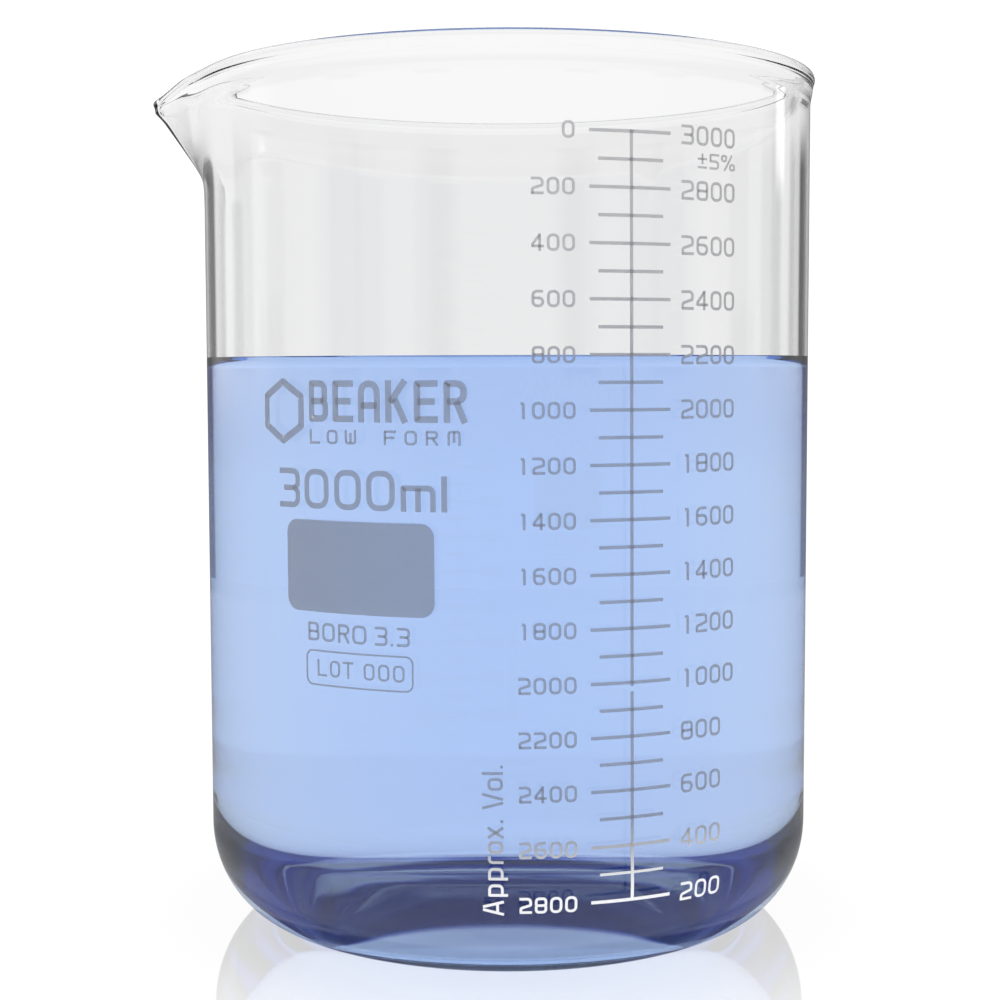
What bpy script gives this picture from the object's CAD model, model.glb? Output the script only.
import math
import bpy
import numpy as np
from mathutils import Matrix, Vector


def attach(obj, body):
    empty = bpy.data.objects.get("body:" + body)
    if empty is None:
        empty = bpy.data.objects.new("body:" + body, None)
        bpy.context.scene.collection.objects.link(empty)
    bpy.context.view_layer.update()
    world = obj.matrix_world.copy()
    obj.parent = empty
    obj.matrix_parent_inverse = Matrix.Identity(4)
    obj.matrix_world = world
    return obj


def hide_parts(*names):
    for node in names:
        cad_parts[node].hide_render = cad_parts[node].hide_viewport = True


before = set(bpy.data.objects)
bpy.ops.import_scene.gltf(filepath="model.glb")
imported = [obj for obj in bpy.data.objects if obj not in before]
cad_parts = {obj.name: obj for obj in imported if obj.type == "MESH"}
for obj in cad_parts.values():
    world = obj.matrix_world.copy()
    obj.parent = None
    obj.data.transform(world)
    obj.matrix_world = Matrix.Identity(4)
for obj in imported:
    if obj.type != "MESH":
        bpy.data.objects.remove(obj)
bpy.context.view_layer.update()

MM = 0.001

# ------------------------------------------------------------------ dimensions (mm)
R_OUT = 76.0
WALL = 3.0
R_IN = R_OUT - WALL
HEIGHT = 210.0
BASE = 5.7
HEEL_OUT = (20.0, 24.0)
HEEL_IN = (17.0, 20.5)
HEEL_IN_POWER = 2.33   # the inner corner is a little squarer than an ellipse
BEAD = 1.5
BEAD_R = 75.55
LEVEL = 139.4
TOP_LINE = 188.8
SKEW = 0.0045          # the print leans by this much

# ------------------------------------------------------------------ camera
cam_data = bpy.data.cameras.new("camera")
cam = bpy.data.objects.new("camera", cam_data)
bpy.context.scene.collection.objects.link(cam)
pitch, yaw, roll = math.radians(4.164), math.radians(-0.238), math.radians(-0.146)
fw = Vector((math.sin(yaw) * math.cos(pitch), math.cos(yaw) * math.cos(pitch), -math.sin(pitch)))
rt = Vector((math.cos(yaw), -math.sin(yaw), 0.0))
up = rt.cross(fw)
rt2 = rt * math.cos(roll) + up * math.sin(roll)
up2 = -rt * math.sin(roll) + up * math.cos(roll)
m = Matrix.Identity(4)
for i in range(3):
    m[i][0], m[i][1], m[i][2] = rt2[i], up2[i], -fw[i]
m[0][3], m[1][3], m[2][3] = 0.0, -0.463, 0.1379
cam.matrix_world = m
cam_data.sensor_width = 36.0
cam_data.lens = 1800.8 / 1000.0 * 36.0
cam_data.clip_start = 0.01
cam_data.clip_end = 50.0
bpy.context.scene.camera = cam


# ------------------------------------------------------------------ helpers
def new_mesh(name, verts, faces, smooth=True):
    me = bpy.data.meshes.new(name)
    me.from_pydata([tuple(float(c) * MM for c in v) for v in verts], [], faces)
    me.validate()
    if smooth:
        me.polygons.foreach_set("use_smooth", [True] * len(me.polygons))
    me.update()
    ob = bpy.data.objects.new(name, me)
    bpy.context.scene.collection.objects.link(ob)
    return ob


def ease(x):
    x = min(1.0, max(0.0, x))
    return x * x * (3 - 2 * x)


def soft_rise(x, k):
    return k * math.log1p(math.exp(x / k)) if x / k < 40 else x


def spout_shift(r, z, phi, inner):
    """the wall drawn out into the spout; phi in degrees from the spout"""
    a = abs(phi)
    throat = min(1.0, max(0.0, (z - 170) / (HEIGHT - 170)))
    z2 = z - 3.8 * throat * throat * math.exp(-((a / 6.8) ** 2))
    plan = math.exp(-((a / 9.2) ** 1.3))
    pull = min(12.65, 0.70 * soft_rise(z2 - 184.7, 1.8))
    if inner:
        pull += 0.7 * ease((z - 186) / 10.0)
    return r + pull * plan, z2


def heel_points(a, b, wall_r, z0, n, power=2.0):
    t = [i / n * math.pi / 2 for i in range(n + 1)]
    return [(wall_r - a + a * math.sin(x) ** (2 / power), z0 + b - b * max(0.0, math.cos(x)) ** (2 / power)) for x in t]


def r_outer(z):
    a, b = HEEL_OUT
    if z >= b:
        return R_OUT
    t = (b - z) / b
    return R_OUT - a + a * math.sqrt(max(0.0, 1 - t * t))


# ------------------------------------------------------------------ glass vessel
def vessel_profile():
    p = [(0.0, 0.0, 0), (20, 0, 0), (40, 0, 0), (50, 0, 0), (54, 0, 0)]
    p += [(r, z, 0) for r, z in heel_points(*HEEL_OUT, R_OUT, 0, 30)]
    p += [(R_OUT, z, 0) for z in (40, 70, 100, 130, 148, 152, 156, 160, 164, 168, 171, 174, 177, 179)]
    p += [(R_OUT, z, 0) for z in np.arange(180.5, 202.0, 1.0)]
    # the wall swells into the rolled rim
    for i in range(0, 9):
        x = i / 8
        p.append((R_OUT + 0.58 * ease(x) ** 1.3, 202 + 4.4 * x, 0))
    for d in np.linspace(-32, 205, 26):
        t = math.radians(d)
        p.append((BEAD_R + BEAD * math.cos(t), HEIGHT - BEAD + BEAD * math.sin(t), 0 if d < 90 else 1))
    for i in range(1, 6):
        x = i / 6
        p.append((R_IN + 1.0 * (1 - ease(x)), 207.0 - 4.6 * x, 1))
    p += [(R_IN, z, 1) for z in np.arange(201.5, 180, -1.0)]
    p += [(R_IN, z, 1) for z in (178, 174, 171, 168, 164, 160, 156, 152, 148, 140, 120, 90, 60, 35)]
    p += [(r, z, 1) for r, z in reversed(heel_points(*HEEL_IN, R_IN, BASE, 36, HEEL_IN_POWER))]
    p += [(50, BASE, 1), (35, BASE, 1), (18, BASE, 1), (0.0, BASE, 1)]
    return p


def revolve(profile, n, shift, bunch=0.55):
    us = []
    for i in range(n):
        u = 2 * math.pi * i / n
        us.append(u - bunch * math.sin(u))
    verts, faces, rings = [], [], []
    for r, z, side in profile:
        if r < 1e-6:
            rings.append([len(verts)])
            verts.append((0, 0, z))
            continue
        ring = []
        for u in us:
            if shift and z > 140:
                phi = math.degrees((u + math.pi) % (2 * math.pi) - math.pi)
                rr, zz = spout_shift(r, z, phi, side)
            else:
                rr, zz = r, z
            ring.append(len(verts))
            verts.append((-rr * math.cos(u), -rr * math.sin(u), zz))
        rings.append(ring)
    for a, b in zip(rings, rings[1:]):
        if len(a) == 1:
            faces += [(a[0], b[(i + 1) % n], b[i]) for i in range(n)]
        elif len(b) == 1:
            faces += [(a[i], a[(i + 1) % n], b[0]) for i in range(n)]
        else:
            faces += [(a[i], a[(i + 1) % n], b[(i + 1) % n], b[i]) for i in range(n)]
    return verts, faces


def outward(ob):
    """faces outward, by the sign of the volume"""
    me = ob.data
    n = len(me.vertices)
    co = np.empty(n * 3); me.vertices.foreach_get("co", co); co = co.reshape(-1, 3)
    me.calc_loop_triangles()
    t = np.empty(len(me.loop_triangles) * 3, dtype=np.int64)
    me.loop_triangles.foreach_get("vertices", t); t = t.reshape(-1, 3)
    v = np.einsum("ij,ij->i", co[t[:, 0]], np.cross(co[t[:, 1]], co[t[:, 2]])).sum()
    if v < 0:
        me.flip_normals()
    return ob


SEG = 240
vessel = outward(new_mesh("vessel_glass", *revolve(vessel_profile(), SEG, True)))

# ------------------------------------------------------------------ liquid, wetting the glass
OVER = 0.10            # the liquid reaches this far into the glass, so that no film of air is left
r_l = R_IN + OVER
lp = [(0.0, BASE - OVER, 0), (18, BASE - OVER, 0), (40, BASE - OVER, 0), (50, BASE - OVER, 0)]
lp += [(r, z, 0) for r, z in heel_points(HEEL_IN[0], HEEL_IN[1], r_l, BASE - OVER, 36, HEEL_IN_POWER)]
lp += [(r_l, z, 0) for z in (50, 90, 120, 134, 138)]
# meniscus: the surface climbs the wall
lp += [(r_l, LEVEL + 1.5, 0)]
for d in (0.12, 0.3, 0.6, 1.0, 1.5, 2.1, 2.9, 4.0, 5.5, 8.0, 12.0):
    lp.append((R_IN - d, LEVEL + 1.5 * math.exp(-d / 1.35), 0))
lp += [(45, LEVEL, 0), (25, LEVEL, 0), (0.0, LEVEL, 0)]
liquid = outward(new_mesh("liquid_blue", *revolve(lp, SEG, False)))


# ------------------------------------------------------------------ enamel print
def fillet(pts, closed, radii):
    """rounds the corners of a path"""
    n = len(pts)
    out = []
    for i in range(n):
        r = radii[i] if isinstance(radii, (list, tuple)) else radii
        if (not closed and i in (0, n - 1)) or r <= 0:
            out.append(pts[i])
            continue
        p, a, b = np.array(pts[i], float), np.array(pts[i - 1], float), np.array(pts[(i + 1) % n], float)
        va, vb = a - p, b - p
        la, lb = np.linalg.norm(va), np.linalg.norm(vb)
        va, vb = va / la, vb / lb
        ang = math.acos(max(-1, min(1, float(va @ vb))))
        if ang > math.pi - 0.05:
            out.append(pts[i])
            continue
        cut = min(r / math.tan(ang / 2), la * 0.49, lb * 0.49)
        rr = cut * math.tan(ang / 2)
        bis = (va + vb) / np.linalg.norm(va + vb)
        c = p + bis * rr / math.sin(ang / 2)
        s, e = p + va * cut, p + vb * cut
        a0 = math.atan2(*(s - c)[::-1]); a1 = math.atan2(*(e - c)[::-1])
        d = (a1 - a0 + math.pi) % (2 * math.pi) - math.pi
        k = max(2, int(abs(d) / 0.32))
        out += [tuple(c + rr * np.array([math.cos(a0 + d * j / k), math.sin(a0 + d * j / k)])) for j in range(k + 1)]
    return out


def split_long(pts, closed, step=1.3):
    out = []
    n = len(pts)
    for i in range(n if closed else n - 1):
        a, b = np.array(pts[i], float), np.array(pts[(i + 1) % n], float)
        k = max(1, int(math.ceil(np.linalg.norm(b - a) / step)))
        out += [tuple(a + (b - a) * j / k) for j in range(k)]
    if not closed:
        out.append(tuple(pts[-1]))
    return out


def ribbon(pts, closed, s):
    """left and right edges of a stroke of width s"""
    p = np.array(split_long(pts, closed), float)
    n = len(p)
    left, right = [], []
    for i in range(n):
        if closed or 0 < i < n - 1:
            d0 = p[i] - p[i - 1]; d1 = p[(i + 1) % n] - p[i]
        elif i == 0:
            d0 = d1 = p[1] - p[0]
        else:
            d0 = d1 = p[i] - p[i - 1]
        d0 = d0 / np.linalg.norm(d0); d1 = d1 / np.linalg.norm(d1)
        n0 = np.array([-d0[1], d0[0]]); n1 = np.array([-d1[1], d1[0]])
        b = n0 + n1
        b = b / np.linalg.norm(b)
        k = s / 2 / max(0.45, float(b @ n0))
        left.append(p[i] + b * k); right.append(p[i] - b * k)
    return left, right


PRINT_IN, PRINT_OUT = -0.01, 0.06      # enamel's inner and outer face against the wall


def wrap(u, z, d):
    """(arc, height, stand-off) to a point on the vessel's outside"""
    u = u + SKEW * (TOP_LINE - z)
    r = r_outer(z) + d
    a = u / R_OUT
    return (r * math.sin(a), -r * math.cos(a), z)


class Print:
    def __init__(self):
        self.v, self.f = [], []

    def solid(self, left, right, closed):
        """a closed thin solid between two edges"""
        n = len(left)
        b = len(self.v)
        for l, r in zip(left, right):
            self.v += [wrap(*l, PRINT_IN), wrap(*r, PRINT_IN), wrap(*r, PRINT_OUT), wrap(*l, PRINT_OUT)]
        for i in range(n if closed else n - 1):
            j = (i + 1) % n
            for k in range(4):
                q = (k + 1) % 4
                self.f.append((b + 4 * i + k, b + 4 * i + q, b + 4 * j + q, b + 4 * j + k))
        if not closed:
            self.f.append((b + 3, b + 2, b + 1, b))
            e = b + 4 * (n - 1)
            self.f.append((e, e + 1, e + 2, e + 3))

    def stroke(self, pts, s, closed=False, radii=0.0):
        pts = fillet(pts, closed, radii)
        self.solid(*ribbon(pts, closed, s), closed)

    def make(self, name):
        ob = new_mesh(name, self.v, self.f, smooth=False)
        import bmesh
        bm = bmesh.new(); bm.from_mesh(ob.data)
        bmesh.ops.recalc_face_normals(bm, faces=bm.faces)
        bm.to_mesh(ob.data); bm.free()
        return ob


def glyph(ch, w, h, s):
    """centre lines of a squared technical face; the box is w by h over the outside of the strokes"""
    a, b, c, d = s / 2, w - s / 2, s / 2, h - s / 2
    m = h / 2
    W = b - a
    r = min(0.42 * W, 0.24 * h)
    if ch == "0" or ch == "O":
        return [([(a, c), (b, c), (b, d), (a, d)], True, r)]
    if ch == "1":
        return [([(w * 0.5 - 0.18 * w, d - 0.02 * h), (w * 0.5 + 0.05 * w, d - 0.02 * h), (w * 0.5 + 0.05 * w, 0)], False, 0.1 * w)]
    if ch == "I":
        return [([(w / 2, 0), (w / 2, h)], False, 0)]
    if ch == "2":
        return [([(0, d), (b, d), (b, m + 0.03 * h), (a, c + 0.27 * h), (a, c), (w, c)], False, [0, r, 0.3 * r, 0.5 * r, 0.02, 0])]
    if ch == "3":
        k = 0.14 * w
        return [([(0, d), (b, d), (b, m + 0.10 * h), (b - k, m), (b, m - 0.10 * h), (b, c), (0, c)], False,
                 [0, r, 0.3 * r, 0.05, 0.3 * r, r, 0]),
                ([(a + 0.16 * W, m), (b - k * 0.9, m)], False, 0)]
    if ch == "4":
        xs = a + 0.72 * W
        y4 = c + 0.20 * h
        return [([(xs, 0), (xs, h)], False, 0),
                ([(xs - 0.02 * w, h - 0.62 * s), (a, y4 + 0.12 * h), (a, y4), (w, y4)], False, [0, 0.2 * r, 0.1 * r, 0])]
    if ch == "5":
        return [([(w, d), (a, d), (a, m + 0.02 * h), (b, m + 0.02 * h), (b, c), (0, c)], False, [0, 0.25 * r, 0.1 * r, r, r, 0])]
    if ch == "6":
        return [([(w - 0.1 * w, d), (a, d), (a, c), (b, c), (b, m + 0.04 * h), (a + 0.3 * s, m + 0.04 * h)], False, [0, r, r, r, r, 0])]
    if ch == "8":
        return [([(a, c), (b, c), (b, m - 0.07 * h), (b - 0.06 * w, m), (b, m + 0.07 * h), (b, d), (a, d), (a, m + 0.07 * h), (a + 0.06 * w, m), (a, m - 0.07 * h)], True,
                 [r, r, 0.1, 0.1, 0.1, r, r, 0.1, 0.1, 0.1]),
                ([(a + 0.06 * w, m), (b - 0.06 * w, m)], False, 0)]
    if ch == ".":
        return [([(w / 2 - s / 2, s / 2), (w / 2 + s / 2, s / 2)], False, 0)]
    if ch == "%":
        q, t = 0.42 * w, 0.46 * h
        return [([(a, d - t + s), (a + q - s, d - t + s), (a + q - s, d), (a, d)], True, 0.5 * r),
                ([(b - q + s, c), (b, c), (b, c + t - s), (b - q + s, c + t - s)], True, 0.5 * r),
                ([(0.24 * w, 0), (0.78 * w, h)], False, 0)]
    if ch == "+":   # plus over minus
        y = 0.62 * h
        return [([(0, y), (w, y)], False, 0), ([(w / 2, y - 0.34 * h), (w / 2, y + 0.36 * h)], False, 0),
                ([(0, s * 0.5), (w, s * 0.5)], False, 0)]
    if ch == "B":
        return [([(a, c), (b, c), (b, m - 0.08 * h), (b - 0.1 * w, m), (b - 0.04 * w, m + 0.08 * h), (b - 0.04 * w, d), (a, d)], True,
                 [0.05, 0.8 * r, 0.1, 0.05, 0.1, 0.8 * r, 0.05]),
                ([(a, m), (b - 0.1 * w, m)], False, 0)]
    if ch == "R":
        return [([(a, 0), (a, d), (b - 0.04 * w, d), (b - 0.04 * w, m), (a, m)], False, [0, 0.05, r, r, 0]),
                ([(w * 0.52, m), (b, 0)], False, 0)]
    if ch == "E":
        return [([(w, d), (a, d), (a, c), (w, c)], False, 0.04), ([(a, m), (w * 0.88, m)], False, 0)]
    if ch == "F":
        return [([(w, d), (a, d), (a, 0)], False, 0.04), ([(a, m), (w * 0.85, m)], False, 0)]
    if ch == "A":
        return [([(a, 0), (a, d), (b, d), (b, 0)], False, [0, r * 1.2, r * 1.2, 0]), ([(a, m - 0.1 * h), (b, m - 0.1 * h)], False, 0)]
    if ch == "^":   # pointed A
        e = 0.16 * w
        return [([(a * 0.9, 0), (w / 2 - e * 0.55, h), ], False, 0), ([(w - a * 0.9, 0), (w / 2 + e * 0.55, h)], False, 0),
                ([(w * 0.22, 0.30 * h), (w * 0.78, 0.30 * h)], False, 0)]
    if ch == "K":
        return [([(a, 0), (a, h)], False, 0), ([(a + s * 0.3, m - 0.02 * h), (b, h)], False, 0),
                ([(a + 0.28 * w, m + 0.06 * h), (b, 0)], False, 0)]
    if ch == "L":
        return [([(a, h), (a, c), (w, c)], False, 0.04)]
    if ch == "T":
        return [([(0, d), (w, d)], False, 0), ([(w / 2, 0), (w / 2, d)], False, 0)]
    if ch == "W":
        return [([(a, h), (a, c), (b, c), (b, h)], False, [0, 0.7 * r, 0.7 * r, 0]), ([(w / 2, c), (w / 2, h * 0.8)], False, 0)]
    if ch == "M":
        return [([(a, 0), (a, d), (b, d), (b, 0)], False, [0, 0.7 * r, 0.7 * r, 0]), ([(w / 2, d), (w / 2, h * 0.2)], False, 0)]
    if ch == "V":
        return [([(a * 0.9, h), (w / 2 - 0.1 * w, 0)], False, 0), ([(w - a * 0.9, h), (w / 2 + 0.1 * w, 0)], False, 0)]
    # lower case: h is the x-height
    if ch == "m":
        return [([(a, 0), (a, d), (b, d), (b, 0)], False, [0, 0.04, r * 0.8, 0]), ([(w / 2, d), (w / 2, 0)], False, 0)]
    if ch == "o":
        return [([(a, c), (b, c), (b, d), (a, d)], True, r)]
    if ch == "p":
        return [([(a, -0.28 * h), (a, d), (b, d), (b, c), (a, c)], False, [0, 0.05, r, r, 0])]
    if ch == "r":
        return [([(a, 0), (a, d), (w, d)], False, [0, 0.25 * h, 0])]
    if ch == "x":
        return [([(a * 0.8, 0), (w - a * 0.8, h)], False, 0), ([(a * 0.8, h), (w - a * 0.8, 0)], False, 0)]
    raise ValueError(ch)


def put(pr, ch, u, z, w, h, s, turn=False, base_u=0.0):
    """one glyph; turn stands it on its end, reading upwards"""
    for pts, closed, radii in glyph(ch, w, h, s):
        if turn:
            pts = [(base_u - y, z + x) for x, y in pts]
        else:
            pts = [(u + x, z + y) for x, y in pts]
        pr.stroke(pts, s, closed, radii)


def line_z(i):
    return TOP_LINE - 5.985 * i - (0.0 if i < 25 else (0.15, 0.40, 0.55, 0.75)[i - 25])


LW = 0.74
MAJOR, MINOR = (17.75, 37.0), (19.75, 35.1)
SPINE = 27.4

ladder = Print()
ladder.stroke([(SPINE, 68.3), (SPINE, line_z(0) + LW / 2)], LW)
ladder.stroke([(SPINE, line_z(28) - LW / 2), (SPINE, 67.1)], LW)
for i in range(29):
    if i == 27:
        continue
    a0, a1 = MAJOR if i % 2 == 0 else MINOR
    ladder.stroke([(a0, line_z(i)), (a1, line_z(i))], LW)
# the faint 300 ml line
ladder.stroke([(MINOR[0], line_z(27)), (MINOR[1], line_z(27))], LW * 0.8)

left = Print()
for k in range(15):
    text = str(200 * k)
    z = line_z(2 * k)
    u = 14.55 - (len(text) - 1) * 3.37 - 2.75
    for ch in text:
        put(left, ch, u, z - 1.86, 2.75, 3.72, 0.60)
        u += 3.37

right = Print()
for k in range(15):
    text = str(3000 - 200 * k)
    z = line_z(2 * k)
    u = 39.95
    for ch in text:
        put(right, ch, u, z - 2.14, 3.3, 4.28, 0.62)
        u += 4.13

tol = Print()
put(tol, "+", 44.44, 181.72, 2.55, 3.35, 0.48)
put(tol, "5", 47.8, 181.66, 2.85, 3.45, 0.50)
put(tol, "%", 51.3, 181.66, 4.45, 3.45, 0.48)

approx = Print()
for ch, z, w, h in (("^", 18.2, 3.5, 4.6), ("p", 22.6, 2.75, 3.4), ("p", 26.25, 2.75, 3.4), ("r", 29.9, 1.75, 3.4),
                    ("o", 32.15, 2.8, 3.4), ("x", 35.45, 2.75, 3.4), (".", 38.85, 0.9, 3.4), ("V", 42.0, 3.65, 4.6),
                    ("o", 46.15, 2.8, 3.4), ("I", 49.55, 0.8, 4.6), (".", 50.95, 0.9, 3.4)):
    put(approx, ch, 0, z, w, h, 0.62, turn=True, base_u=-1.75)

capacity = Print()
for ch, u, w, h in (("3", -56.95, 6.45, 8.85), ("0", -48.95, 6.85, 8.85), ("0", -40.45, 6.85, 8.85), ("0", -32.2, 6.85, 8.85),
                    ("m", -23.95, 7.95, 5.75)):
    put(capacity, ch, u, 106.95, w, h, 1.25)
capacity.stroke([(-14.1, 106.95), (-14.1, 114.75)], 1.3)

boro = Print()
for ch, u, w in (("B", -48.4, 3.15), ("O", -44.35, 3.45), ("R", -39.95, 3.1), ("O", -36.2, 3.6), ("3", -30.5, 3.05), (".", -26.75, 0.7),
                 ("3", -25.2, 3.05)):
    put(boro, ch, u, 77.25, w, 4.2, 0.58)

code = Print()
for ch, u, w in (("L", -45.8, 2.6), ("0", -42.3, 2.7), ("T", -38.8, 2.8), ("0", -33.4, 2.7), ("0", -29.8, 2.7), ("0", -26.2, 2.7)):
    put(code, ch, u, 69.35, w, 3.75, 0.48)

batch = Print()
batch.stroke([(-48.9, 67.35), (-21.6, 67.35), (-21.6, 75.05), (-48.9, 75.05)], 0.4, True, 1.6)

emblem = Print()
emblem.stroke([(-55.5 + 6.6 * math.cos(math.radians(90 + 60 * k)), 128.6 + 6.6 * math.sin(math.radians(90 + 60 * k)))
               for k in range(6)], 1.6, True, 0.3)

title = Print()
u = -47.3
for ch in "BEAKER":
    w = 5.35
    put(title, ch, u, 126.3, w, 9.2, 1.45)
    u += 6.65

sub = Print()
u = -47.2
for ch in "LOW FORM":
    if ch != " ":
        put(sub, ch, u, 121.4, 2.9, 3.2, 0.55)
    u += 4.85


def spot_mesh():
    """the solid writing patch: a rounded rectangle bent round the wall, as one closed thin solid"""
    a0, a1, z0, z1, rad = -54.6, -16.45, 83.8, 104.4, 3.1
    vs, fs = [], []
    cols = np.linspace(a0, a1, 49)
    extra = [a0 + rad * (1 - math.cos(t)) for t in np.linspace(0, math.pi / 2, 9)[1:-1]]
    extra += [a1 - (e - a0) for e in extra]
    cols = sorted(set([round(float(c), 5) for c in cols if a0 + rad < c < a1 - rad] + [round(e, 5) for e in extra] + [a0, a1, a0 + rad, a1 - rad]))
    rows = 9
    idx = {}
    for i, u_ in enumerate(cols):
        e = 0.0
        if u_ < a0 + rad:
            e = rad - math.sqrt(max(0, rad ** 2 - (a0 + rad - u_) ** 2))
        if u_ > a1 - rad:
            e = rad - math.sqrt(max(0, rad ** 2 - (u_ - a1 + rad) ** 2))
        for j in range(rows):
            z_ = z0 + e + (z1 - z0 - 2 * e) * j / (rows - 1)
            for k, d in enumerate((PRINT_IN, PRINT_OUT)):
                idx[i, j, k] = len(vs)
                vs.append(wrap(u_, z_, d))
    n = len(cols)
    for i in range(n - 1):
        for j in range(rows - 1):
            fs.append((idx[i, j, 1], idx[i + 1, j, 1], idx[i + 1, j + 1, 1], idx[i, j + 1, 1]))
            fs.append((idx[i, j, 0], idx[i, j + 1, 0], idx[i + 1, j + 1, 0], idx[i + 1, j, 0]))
        for j, flip in ((0, False), (rows - 1, True)):
            q = (idx[i, j, 0], idx[i + 1, j, 0], idx[i + 1, j, 1], idx[i, j, 1])
            fs.append(q[::-1] if flip else q)
    for i in (0, n - 1):
        for j in range(rows - 1):
            q = (idx[i, j, 0], idx[i, j, 1], idx[i, j + 1, 1], idx[i, j + 1, 0])
            fs.append(q if i == 0 else q[::-1])
    ob = new_mesh("print_marking_spot", vs, fs, smooth=False)
    import bmesh
    bm = bmesh.new(); bm.from_mesh(ob.data)
    bmesh.ops.recalc_face_normals(bm, faces=bm.faces)
    bm.to_mesh(ob.data); bm.free()
    return ob


prints = {
    "ladder": ladder.make("print_scale_ladder"),
    "left": left.make("print_numerals_left"),
    "right": right.make("print_numerals_right"),
    "tol": tol.make("print_tolerance"),
    "approx": approx.make("print_approx_vol"),
    "capacity": capacity.make("print_capacity"),
    "boro": boro.make("print_glass_type"),
    "code": code.make("print_batch_code"),
    "batch": batch.make("print_batch_frame"),
    "emblem": emblem.make("print_hexagon"),
    "title": title.make("print_title"),
    "sub": sub.make("print_subtitle"),
    "spot": spot_mesh(),
}


# ------------------------------------------------------------------ materials
def material(name):
    mat = bpy.data.materials.new(name)
    mat.use_nodes = True
    nt = mat.node_tree
    return mat, nt, nt.nodes["Principled BSDF"], nt.nodes["Material Output"]


glass, nt, bsdf, out = material("borosilicate_glass")
bsdf.inputs["Base Color"].default_value = (1, 1, 1, 1)
bsdf.inputs["Transmission Weight"].default_value = 1.0
bsdf.inputs["IOR"].default_value = 1.474
bsdf.inputs["Roughness"].default_value = 0.0
tc = nt.nodes.new("ShaderNodeTexCoord")
mp = nt.nodes.new("ShaderNodeMapping")
mp.inputs["Scale"].default_value = (1.0, 1.0, 0.25)
nz = nt.nodes.new("ShaderNodeTexNoise")
nz.inputs["Scale"].default_value = 38.0
nz.inputs["Detail"].default_value = 2.0
bp = nt.nodes.new("ShaderNodeBump")
bp.inputs["Strength"].default_value = 0.05
bp.inputs["Distance"].default_value = 0.0004
nt.links.new(tc.outputs["Object"], mp.inputs["Vector"])
nt.links.new(mp.outputs["Vector"], nz.inputs["Vector"])
nt.links.new(nz.outputs["Fac"], bp.inputs["Height"])
nt.links.new(bp.outputs["Normal"], bsdf.inputs["Normal"])
va = nt.nodes.new("ShaderNodeVolumeAbsorption")
va.inputs["Color"].default_value = (0.30, 0.33, 0.31, 1)
va.inputs["Density"].default_value = 16.0
nt.links.new(va.outputs["Volume"], out.inputs["Volume"])
vessel.data.materials.append(glass)

water, nt, bsdf, out = material("blue_liquid")
bsdf.inputs["Base Color"].default_value = (0.86, 0.92, 1.0, 1)
bsdf.inputs["Transmission Weight"].default_value = 1.0
bsdf.inputs["IOR"].default_value = 1.333
bsdf.inputs["Roughness"].default_value = 0.0
va = nt.nodes.new("ShaderNodeVolumeAbsorption")
va.inputs["Color"].default_value = (0.07, 0.43, 0.97, 1)
va.inputs["Density"].default_value = 5.0
nt.links.new(va.outputs["Volume"], out.inputs["Volume"])
liquid.data.materials.append(water)

enamel, nt, bsdf, out = material("fired_enamel")
bsdf.inputs["Roughness"].default_value = 0.45
bsdf.inputs["IOR"].default_value = 1.5
bsdf.inputs["Transmission Weight"].default_value = 0.8
tc = nt.nodes.new("ShaderNodeTexCoord")
sp = nt.nodes.new("ShaderNodeSeparateXYZ")
mr = nt.nodes.new("ShaderNodeMapRange")
mr.inputs["From Min"].default_value = 0.0215
mr.inputs["From Max"].default_value = 0.040
mr.interpolation_type = "SMOOTHSTEP"
nt.links.new(tc.outputs["Object"], sp.inputs["Vector"])
nt.links.new(sp.outputs["Z"], mr.inputs["Value"])
nz = nt.nodes.new("ShaderNodeTexNoise")
nz.inputs["Scale"].default_value = 1500.0
nz.inputs["Detail"].default_value = 3.0
nt.links.new(tc.outputs["Object"], nz.inputs["Vector"])
mix = nt.nodes.new("ShaderNodeMix"); mix.data_type = "RGBA"
mix.inputs["A"].default_value = (0.93, 0.94, 0.96, 1)
mix.inputs["B"].default_value = (0.62, 0.62, 0.63, 1)
nt.links.new(mr.outputs["Result"], mix.inputs["Factor"])
sm = nt.nodes.new("ShaderNodeMapRange")
sm.inputs["To Min"].default_value = 0.94
sm.inputs["To Max"].default_value = 1.04
nt.links.new(nz.outputs["Fac"], sm.inputs["Value"])
mul = nt.nodes.new("ShaderNodeMix"); mul.data_type = "RGBA"; mul.blend_type = "MULTIPLY"
mul.inputs["Factor"].default_value = 1.0
nt.links.new(mix.outputs["Result"], mul.inputs["A"])
nt.links.new(sm.outputs["Result"], mul.inputs["B"])
nt.links.new(mul.outputs["Result"], bsdf.inputs["Base Color"])
tw = nt.nodes.new("ShaderNodeMath"); tw.operation = "MULTIPLY"
tw.inputs[1].default_value = 0.93
nt.links.new(mr.outputs["Result"], tw.inputs[0])
nt.links.new(tw.outputs["Value"], bsdf.inputs["Transmission Weight"])
bp = nt.nodes.new("ShaderNodeBump")
bp.inputs["Strength"].default_value = 0.2
bp.inputs["Distance"].default_value = 0.00003
nt.links.new(nz.outputs["Fac"], bp.inputs["Height"])
nt.links.new(bp.outputs["Normal"], bsdf.inputs["Normal"])
for ob in prints.values():
    ob.data.materials.append(enamel)

# ------------------------------------------------------------------ what stands for what
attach(vessel, "root"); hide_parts("glass_vessel")
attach(liquid, "root"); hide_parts("blue_liquid")
for ob in prints.values():
    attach(ob, "root")
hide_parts("scale_ladder_upper", "scale_ladder_lower")
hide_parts("marking_spot")
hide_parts("batch_frame")
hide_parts("hexagon_emblem")
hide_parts("capacity_three", "capacity_zero_1", "capacity_zero_2", "capacity_zero_3", "capacity_m", "capacity_l")

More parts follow.
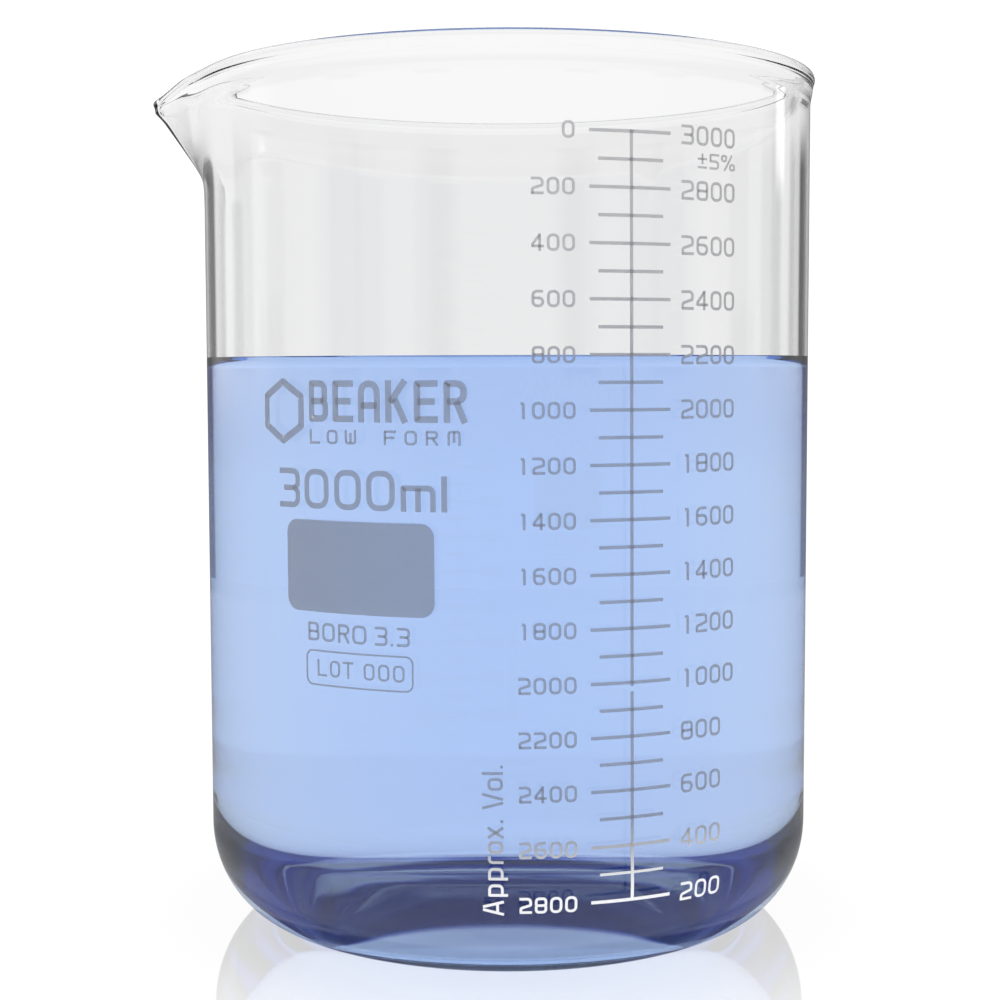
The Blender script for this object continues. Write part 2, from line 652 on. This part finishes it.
# ------------------------------------------------------------------ stage
fl = 700.0
floor = new_mesh("floor", [(fl * math.cos(i * math.pi / 32), fl * math.sin(i * math.pi / 32), 0) for i in range(64)],
                 [tuple(range(64))], smooth=False)
floor.location.z = -0.0002
fmat, nt, bsdf, out = material("floor_white")
nt.nodes.remove(bsdf)
em = nt.nodes.new("ShaderNodeEmission")
gl = nt.nodes.new("ShaderNodeBsdfGlossy")
gl.inputs["Roughness"].default_value = 0.03
mx = nt.nodes.new("ShaderNodeMixShader")
ge = nt.nodes.new("ShaderNodeNewGeometry")
ln = nt.nodes.new("ShaderNodeVectorMath"); ln.operation = "LENGTH"
fade = nt.nodes.new("ShaderNodeMapRange"); fade.interpolation_type = "SMOOTHSTEP"
fade.inputs["From Min"].default_value = 0.060
fade.inputs["From Max"].default_value = 0.135
fade.inputs["To Min"].default_value = 0.42
fade.inputs["To Max"].default_value = 0.10
nt.links.new(ge.outputs["Position"], ln.inputs[0])
nt.links.new(ln.outputs["Value"], fade.inputs["Value"])
nt.links.new(fade.outputs["Result"], mx.inputs[0])
flp = nt.nodes.new("ShaderNodeLightPath")
dim = nt.nodes.new("ShaderNodeMapRange")
dim.inputs["To Min"].default_value = 1.06
dim.inputs["To Max"].default_value = 0.25
sub_ = nt.nodes.new("ShaderNodeMath"); sub_.operation = "SUBTRACT"; sub_.use_clamp = True
nt.links.new(flp.outputs["Is Singular Ray"], sub_.inputs[0])
nt.links.new(flp.outputs["Is Transmission Ray"], sub_.inputs[1])
nt.links.new(sub_.outputs["Value"], dim.inputs["Value"])
nt.links.new(dim.outputs["Result"], em.inputs["Strength"])
nt.links.new(em.outputs[0], mx.inputs[1])
nt.links.new(gl.outputs[0], mx.inputs[2])
nt.links.new(mx.outputs[0], out.inputs["Surface"])
floor.data.materials.append(fmat)

world = bpy.data.worlds.new("studio")
bpy.context.scene.world = world
world.use_nodes = True
nt = world.node_tree
bg = nt.nodes["Background"]
tc = nt.nodes.new("ShaderNodeTexCoord")
sx = nt.nodes.new("ShaderNodeSeparateXYZ")
nt.links.new(tc.outputs["Generated"], sx.inputs["Vector"])


def ramp(value, lo, hi, a=0.0, b=1.0):
    n = nt.nodes.new("ShaderNodeMapRange")
    n.interpolation_type = "SMOOTHSTEP"
    n.inputs["From Min"].default_value = lo
    n.inputs["From Max"].default_value = hi
    n.inputs["To Min"].default_value = a
    n.inputs["To Max"].default_value = b
    nt.links.new(value, n.inputs["Value"])
    return n.outputs["Result"]


def maths(op, a, b):
    n = nt.nodes.new("ShaderNodeMath")
    n.operation = op
    for i, v in enumerate((a, b)):
        if isinstance(v, (int, float)):
            n.inputs[i].default_value = v
        else:
            nt.links.new(v, n.inputs[i])
    return n.outputs["Value"]


def deg(value, lo, hi, a=0.0, b=1.0):
    return ramp(value, math.radians(lo), math.radians(hi), a, b)


def band(value, a0, a1, b0, b1):
    """1 between a1 and b0, falling to 0 at a0 and b1"""
    return maths("MULTIPLY", deg(value, a0, a1), deg(value, b0, b1, 1.0, 0.0))


def blend(fac, a, b):
    """a where fac is 0, b where it is 1"""
    return maths("ADD", maths("MULTIPLY", a, maths("SUBTRACT", 1.0, fac)), maths("MULTIPLY", b, fac))


plan = maths("ARCTAN2", maths("ABSOLUTE", sx.outputs["X"], 0.0), sx.outputs["Y"])   # 0 behind the object, pi at the front
rise = maths("ARCSINE", sx.outputs["Z"], 0.0)                                       # height above the horizon
quarter = maths("PINGPONG", plan, math.radians(45))
half = maths("PINGPONG", plan, math.radians(90))

lp_ = nt.nodes.new("ShaderNodeLightPath")
through = lp_.outputs["Is Transmission Ray"]
wet = maths("GREATER_THAN", lp_.outputs["Transmission Depth"], 5.5)      # light that has come through the liquid

# seen through the bare glass: four lit backdrops with dark posts between them, above a white table
panels = blend(band(quarter, 19.0, 22.5, 32.0, 36.0), 0.94, 0.04)
dry_side = blend(band(rise, -0.6, 0.4, 6.0, 8.0), 1.0, panels)

# seen through the liquid: the white table and backdrop, dark to the far sides, a deep blue slot above, a slightly
# brighter soft box overhead, and a deep blue room in front
flank = maths("MULTIPLY", band(plan, 51.0, 55.0, 68.0, 72.0), deg(rise, 1.0, 3.0, 1.0, 0.0))
wet_side = blend(flank, blend(maths("MULTIPLY", deg(rise, 27.0, 31.0), deg(plan, 70.0, 100.0, 1.0, 0.0)), 1.05, 1.25), 0.05)
edge = maths("ADD", deg(plan, 16.0, 30.0, 0.0, 5.0), deg(plan, 80.0, 105.0, 0.0, 30.0))
in_slot = maths("MULTIPLY", deg(rise, 14.6, 15.4), deg(maths("SUBTRACT", rise, maths("RADIANS", edge, 0.0)), 25.0, 26.4, 1.0, 0.0))
front = maths("MULTIPLY", deg(plan, 88.0, 100.0), deg(rise, -4.0, 0.0))
in_slot = maths("MULTIPLY", maths("MAXIMUM", in_slot, front), wet)
seen = blend(wet, dry_side, blend(in_slot, wet_side, blend(front, 0.10, 0.42)))

# what it mirrors: a dim room, a pale screen at the left, a weaker one and a small window at the right
right_side = maths("GREATER_THAN", sx.outputs["X"], 0.0)
screens = maths("MULTIPLY", band(plan, 25.0, 45.0, 75.0, 95.0), deg(rise, -3.0, 1.0))
mirrored = blend(screens, 0.20, blend(right_side, 0.95, 0.50))
window = maths("MULTIPLY", band(plan, 54.0, 57.5, 61.0, 64.0), band(rise, 5.0, 6.5, 8.0, 9.5))
mirrored = blend(maths("MULTIPLY", window, right_side), mirrored, 3.0)

AROUND = 1.06          # what lights the enamel, and what the floor mirrors
light = blend(lp_.outputs["Is Singular Ray"], AROUND, mirrored)
light = blend(through, light, seen)
light = blend(lp_.outputs["Is Camera Ray"], light, 1.1)
tint = nt.nodes.new("ShaderNodeMix")
tint.data_type = "RGBA"
tint.inputs["A"].default_value = (1, 1, 1, 1)
tint.inputs["B"].default_value = (0.0, 0.14, 1.0, 1)
nt.links.new(maths("MULTIPLY", in_slot, through), tint.inputs["Factor"])
nt.links.new(tint.outputs["Result"], bg.inputs["Color"])
nt.links.new(light, bg.inputs["Strength"])

cy = bpy.context.scene.cycles
cy.max_bounces = 32
cy.transmission_bounces = 32
cy.glossy_bounces = 32

bpy.context.scene.view_settings.view_transform = "Standard"
